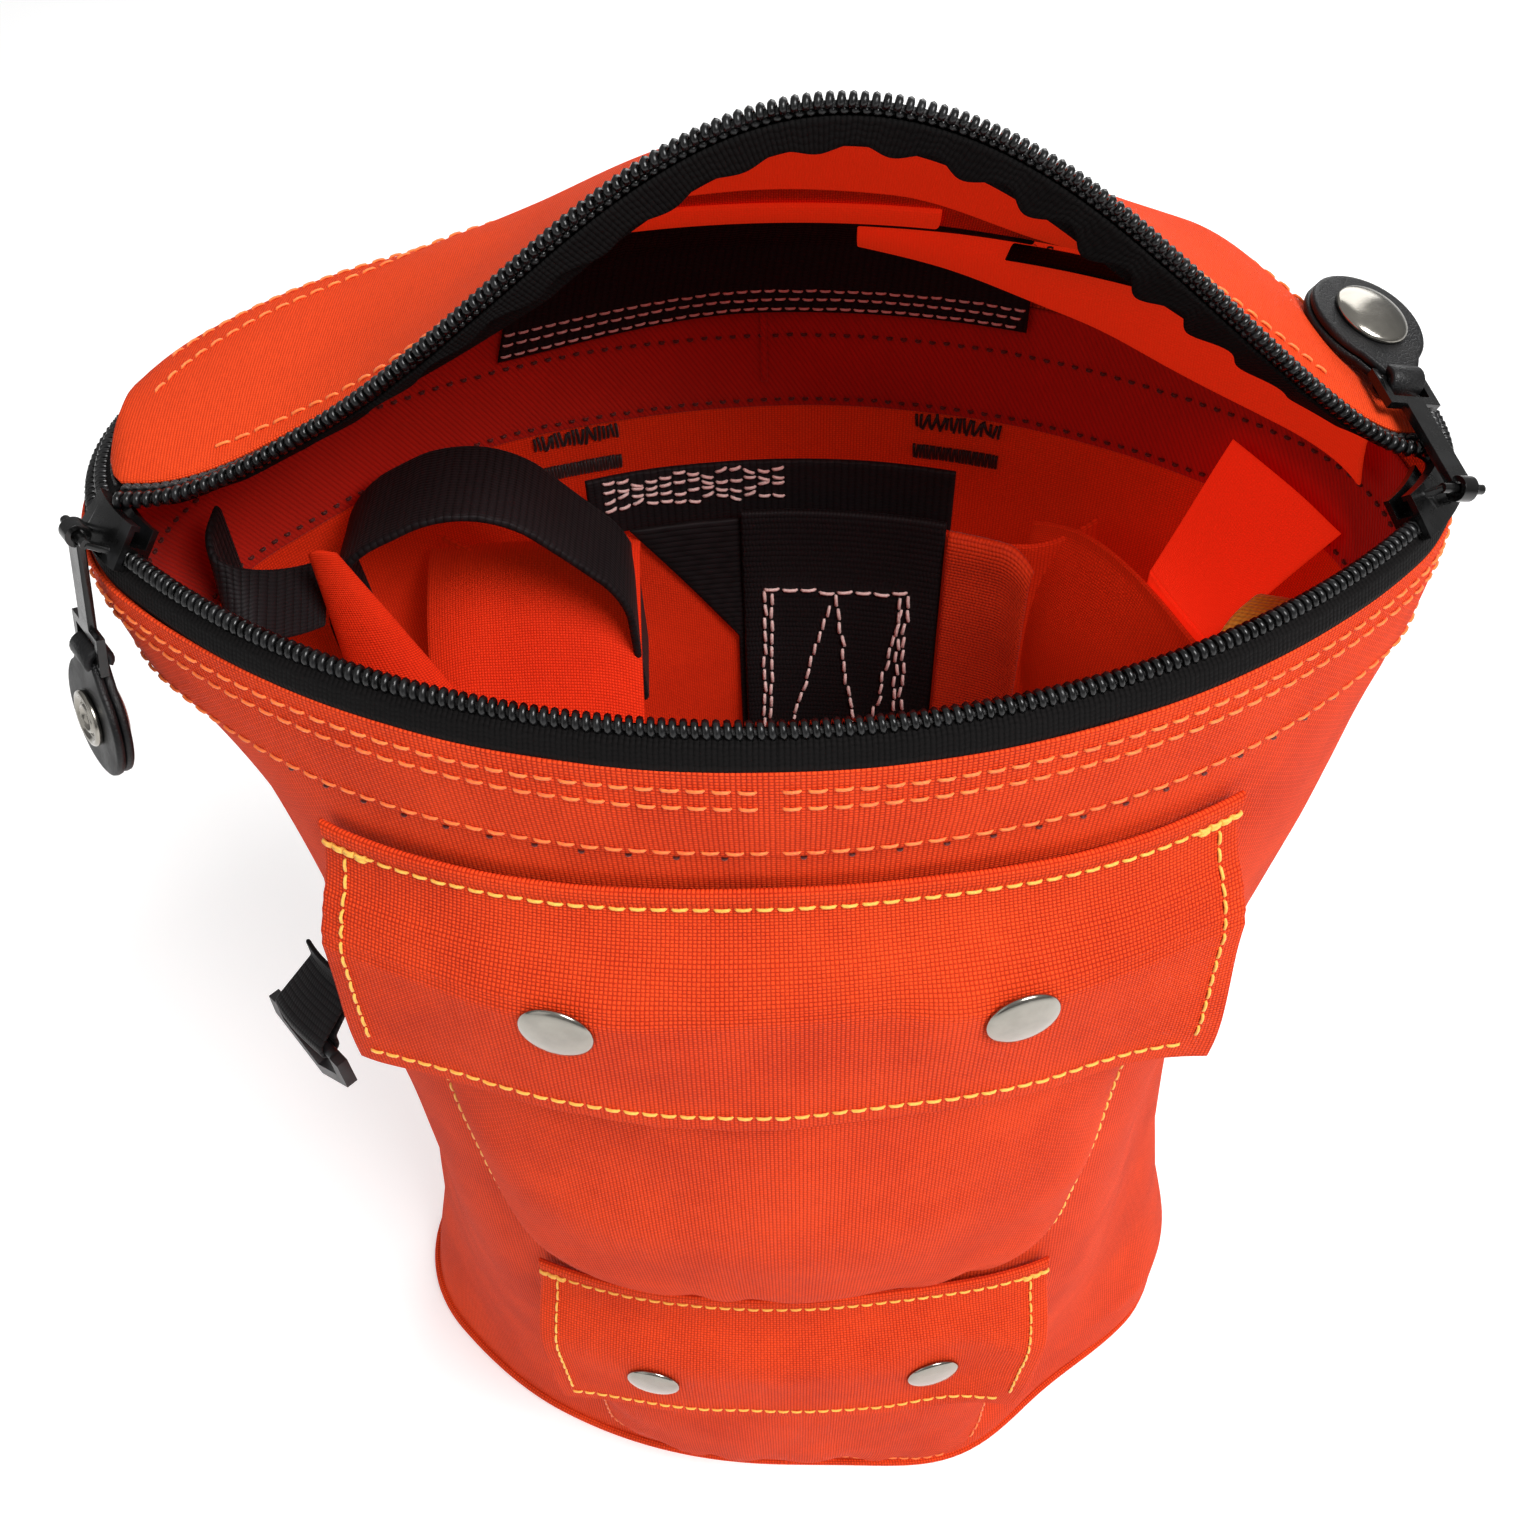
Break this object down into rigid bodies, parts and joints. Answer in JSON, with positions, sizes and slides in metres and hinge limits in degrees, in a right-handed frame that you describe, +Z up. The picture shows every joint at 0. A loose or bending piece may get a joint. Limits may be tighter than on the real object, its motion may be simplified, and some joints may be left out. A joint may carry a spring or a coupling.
{
  "type": "tool bucket bag",
  "caption": "Oval soft tool bucket bag with a zip-round lid, snap-flap front pockets, a sewn-in webbing organizer, belt loops and a side ring.",
  "frame": {"origin": "centre of the base, on the surface that the bag stands on", "axes": "+X to the right seen from the pocket side, +Y to the back, +Z up"},
  "size_m": [0.2692, 0.1834, 0.4335],
  "materials": {
    "orange_fabric": "woven, high visibility",
    "black_webbing": "ribbed webbing",
    "black_tape": "woven tape",
    "zip_coil": "glossy",
    "black_metal": "gloss black enamel",
    "nickel": "polished nickel",
    "black_leather": "smooth",
    "yellow_webbing": "ribbed webbing",
    "black_thread": "thread",
    "base_plastic": "matte",
    "ring_plastic": "matte"
  },
  "bodies": {
    "bag": {"back_centre_webbing": "black_webbing", "back_panel": "orange_fabric", "bar_tacks": "black_thread", "base_binding": "black_tape", "base_board": "base_plastic", "base_panel": "orange_fabric", "belt_loop_left": "black_webbing", "belt_loop_right": "black_webbing", "bottom_zip_coil": "zip_coil", "bottom_zip_tape": "black_tape", "box_stitch_webbing": "black_webbing", "diagonal_webbing": "black_webbing", "front_panel": "orange_fabric", "left_end_webbing": "black_webbing", "left_loop_webbing": "black_webbing", "lid_hinge_strip": "black_webbing", "lower_flap_hem": "orange_fabric", "lower_pocket": "orange_fabric", "lower_pocket_hem": "orange_fabric", "lower_snap_studs": "nickel", "orange_band": "orange_fabric", "orange_fold": "orange_fabric", "organizer_dividers": "orange_fabric", "organizer_panel": "orange_fabric", "right_pouch": "orange_fabric", "rim_facing_back": "orange_fabric", "rim_facing_front": "orange_fabric", "side_ring_loop": "black_webbing", "side_seam_tapes": "black_tape", "upper_flap_hem": "orange_fabric", "upper_pocket": "orange_fabric", "upper_pocket_hem": "orange_fabric", "upper_snap_studs": "nickel", "yellow_loop": "yellow_webbing", "zip_end_tabs": "black_webbing"},
    "lid": {"lid_panel": "orange_fabric", "lid_hem": "orange_fabric", "lid_zip_tape": "black_tape", "lid_zip_coil": "zip_coil"},
    "slider_left": {"slider_left": "black_metal"},
    "puller_left": {"puller_left": "black_metal"},
    "tab_left": {"tab_left": "black_leather", "tab_cap_left": "nickel", "tab_socket_left": "nickel"},
    "slider_right": {"slider_right": "black_metal"},
    "puller_right": {"puller_right": "black_metal"},
    "tab_right": {"tab_right": "black_leather", "tab_cap_right": "nickel", "tab_socket_right": "nickel"},
    "upper_flap": {"upper_flap": "orange_fabric", "upper_snap_caps": "nickel", "upper_snap_sockets": "nickel"},
    "lower_flap": {"lower_flap": "orange_fabric", "lower_snap_caps": "nickel", "lower_snap_sockets": "nickel"},
    "side_ring": {"side_ring": "ring_plastic"}
  },
  "joints": [
    {"name": "lid_hinge", "type": "hinge", "parent": "bag", "child": "lid", "pos_m": [0, 0.0795, 0.361], "axis": [-1, 0, 0], "range_deg": [0, 105]},
    {"name": "slider_left_run", "type": "hinge", "parent": "bag", "child": "slider_left", "pos_m": [-0.085, 0, 0.361], "axis": [0, 0, -1], "range_deg": [0, 66]},
    {"name": "puller_left_swing", "type": "hinge", "parent": "slider_left", "child": "puller_left", "pos_m": [-0.12232, -0.02916, 0.36454], "axis": [-0.6157, 0.788, 0], "range_deg": [0, 165]},
    {"name": "tab_left_swing", "type": "hinge", "parent": "puller_left", "child": "tab_left", "pos_m": [-0.12728, -0.03303, 0.33931], "axis": [-0.6157, 0.788, 0], "range_deg": [-12, 60]},
    {"name": "slider_right_run", "type": "hinge", "parent": "lid", "child": "slider_right", "pos_m": [0.085, 0, 0.361], "axis": [0, 0, 1], "range_deg": [0, 8]},
    {"name": "puller_right_swing", "type": "hinge", "parent": "slider_right", "child": "puller_right", "pos_m": [0.12121, -0.02829, 0.36595], "axis": [0.9283, 0.2559, -0.2696], "range_deg": [0, 150]},
    {"name": "tab_right_swing", "type": "hinge", "parent": "puller_right", "child": "tab_right", "pos_m": [0.11592, -0.00341, 0.37136], "axis": [0.9283, 0.2559, -0.2696], "range_deg": [0, 60]},
    {"name": "upper_flap_hinge", "type": "hinge", "parent": "bag", "child": "upper_flap", "pos_m": [0.0012, -0.0825, 0.3155], "axis": [-1, -0.007, 0], "range_deg": [0, 110]},
    {"name": "lower_flap_hinge", "type": "hinge", "parent": "bag", "child": "lower_flap", "pos_m": [0.0012, -0.0825, 0.1405], "axis": [-1, -0.007, 0], "range_deg": [0, 80]},
    {"name": "side_ring_swing", "type": "hinge", "parent": "bag", "child": "side_ring", "pos_m": [-0.11937, -0.03437, 0.209], "axis": [-0.7071, 0.7071, 0], "range_deg": [0, 90]}
  ]
}
